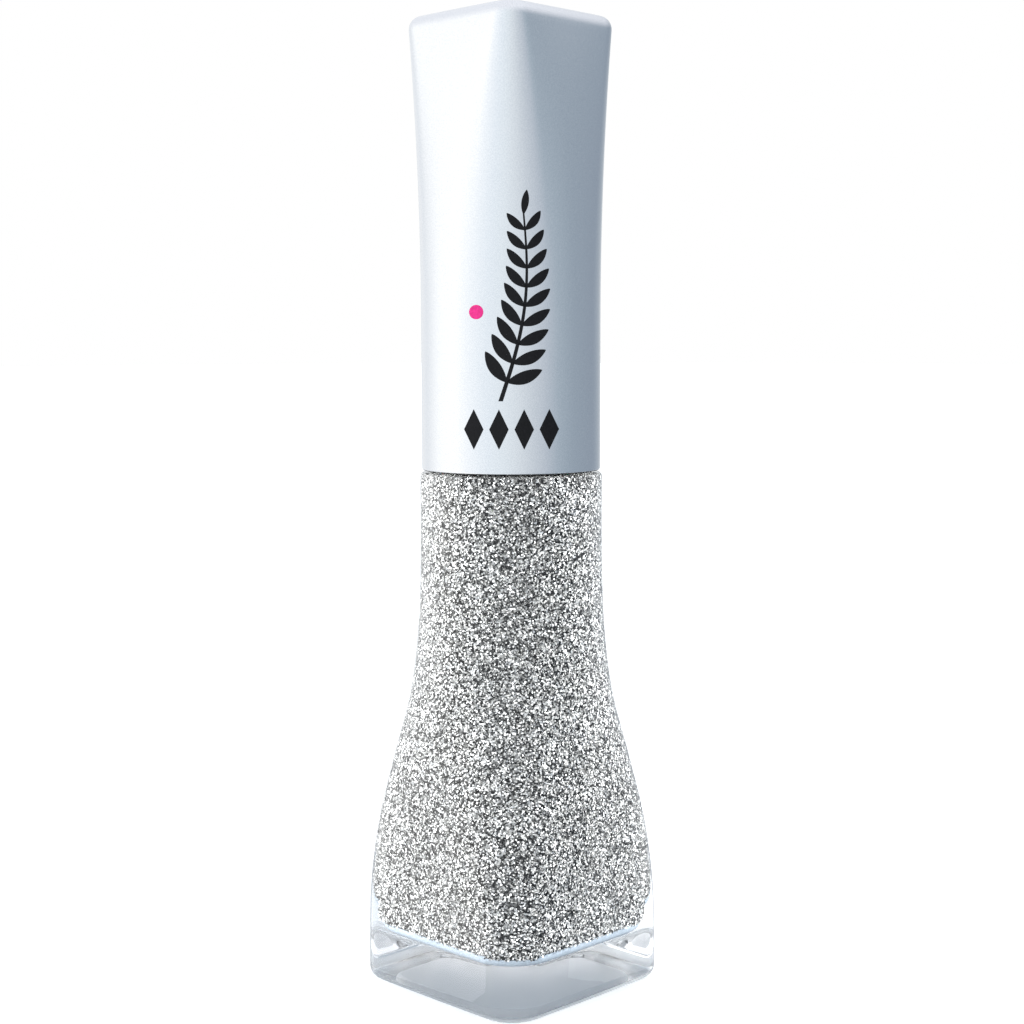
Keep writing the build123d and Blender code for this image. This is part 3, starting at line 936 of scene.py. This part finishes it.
def light_surroundings():
    """The colours that light the bottle and that it reflects, and a white backdrop."""
    world = bpy.data.worlds.new("studio")
    bpy.context.scene.world = world
    world.use_nodes = True
    tree = world.node_tree
    add, join = tree.nodes.new, tree.links.new
    gradient = add("ShaderNodeTexGradient")
    gradient.gradient_type = "RADIAL"
    coordinates = add("ShaderNodeTexCoord")
    join(coordinates.outputs["Generated"], gradient.inputs["Vector"])
    ramp = add("ShaderNodeValToRGB")
    while len(ramp.color_ramp.elements) < len(SURROUNDINGS):
        ramp.color_ramp.elements.new(0.5)
    for element, (azimuth, colour) in zip(ramp.color_ramp.elements, SURROUNDINGS):
        element.position = azimuth / 360 + 0.5
        element.color = (*colour, 1)
    join(gradient.outputs["Fac"], ramp.inputs["Fac"])
    height = add("ShaderNodeSeparateXYZ")
    join(coordinates.outputs["Generated"], height.inputs["Vector"])
    fade = add("ShaderNodeMapRange")
    fade.inputs["From Min"].default_value = FADE_HEIGHTS[0]
    fade.inputs["From Max"].default_value = FADE_HEIGHTS[1]
    join(height.outputs["Z"], fade.inputs["Value"])
    sky = add("ShaderNodeMixRGB")
    join(fade.outputs["Result"], sky.inputs["Fac"])
    join(ramp.outputs["Color"], sky.inputs["Color1"])
    sky.inputs["Color2"].default_value = (*OVERHEAD, 1)
    seen = tree.nodes["Background"]
    join(sky.outputs["Color"], seen.inputs["Color"])
    backdrop = add("ShaderNodeBackground")
    backdrop.inputs["Color"].default_value = (1, 1, 1, 1)
    mix = add("ShaderNodeMixShader")
    join(add("ShaderNodeLightPath").outputs["Is Camera Ray"], mix.inputs["Fac"])
    join(seen.outputs[0], mix.inputs[1])
    join(backdrop.outputs[0], mix.inputs[2])
    join(mix.outputs[0], tree.nodes["World Output"].inputs["Surface"])


def lay_floor():
    """A wide sheet of white paper, left out of reflections and of what glass shows."""
    m = Nodes("paper")
    m.paint(m.noise(0.4), [(0.3, grey(0.90)), (0.7, grey(0.94))])
    m.set(Roughness=0.8, Emission_Color=(1, 1, 1, 1), Emission_Strength=0.45)
    bpy.ops.mesh.primitive_plane_add(size=12.0, location=(0, 0, 0))
    floor = bpy.context.object
    floor.name = "floor"
    floor.data.materials.append(m.material)
    floor.visible_glossy = False
    floor.visible_transmission = False


PANEL_DISTANCE = 0.45  # m, from the point that the panels face
PANEL_AIM = (0, 0, 0.045)  # m
# Each panel's name, azimuth and elevation in degrees, size in m, power in W, and what it
# lights
PANELS = (
    ("left_glitter", -145, 15, 0.25, 7.6, glitter),
    ("right_glitter", 55, 15, 0.25, 8.8, glitter),
    ("front_glitter", -60, 8, 0.2, 2.7, glitter),
    ("left_sheen", -155, 5, 0.55, 0.9, [glass]),
    ("right_sheen", 75, 5, 0.55, 0.5, [glass]),
)
CAMERA_REACH = 162.485  # mm, from the bottle's axis towards its printed corner
CAMERA_HEIGHT = 58.279  # mm
CAMERA_TILT = 0.091  # radians below level
CAMERA_ROLL = -0.002
CAMERA_SHIFT = (0.0008, 0.001)  # right and up, as a share of the picture
CAMERA_LENS = 62.6


def set_camera():
    data = bpy.data.cameras.new("camera")
    data.lens = CAMERA_LENS
    data.sensor_width = 36
    data.shift_x, data.shift_y = CAMERA_SHIFT
    data.clip_start = 0.005
    camera = bpy.data.objects.new("camera", data)
    bpy.context.scene.collection.objects.link(camera)
    camera.location = Vector((*(FRONT * CAMERA_REACH), CAMERA_HEIGHT)) * MM
    aim = Euler((math.pi / 2 - CAMERA_TILT, 0, math.radians(45))).to_matrix()
    camera.rotation_euler = (aim @ Matrix.Rotation(CAMERA_ROLL, 3, "Z")).to_euler()
    bpy.context.scene.camera = camera


def add_panel(name, azimuth, elevation, size, power, lit):
    """A soft square light that faces the bottle and lights only the pieces in lit."""
    azimuth, elevation = math.radians(azimuth), math.radians(elevation)
    data = bpy.data.lights.new(name, "AREA")
    data.size = size
    data.energy = power
    light = bpy.data.objects.new(name, data)
    bpy.context.scene.collection.objects.link(light)
    level = math.cos(elevation)
    toward = Vector(
        (math.cos(azimuth) * level, math.sin(azimuth) * level, math.sin(elevation))
    )
    light.location = Vector(PANEL_AIM) + toward * PANEL_DISTANCE
    light.rotation_euler = (-toward).to_track_quat("-Z", "Y").to_euler()
    group = bpy.data.collections.new(f"lit_by_{name}")
    for piece in lit:
        group.objects.link(piece)
    light.light_linking.receiver_collection = group


light_surroundings()
lay_floor()
set_camera()
for panel in PANELS:
    add_panel(*panel)
bpy.context.scene.view_settings.view_transform = "Standard"
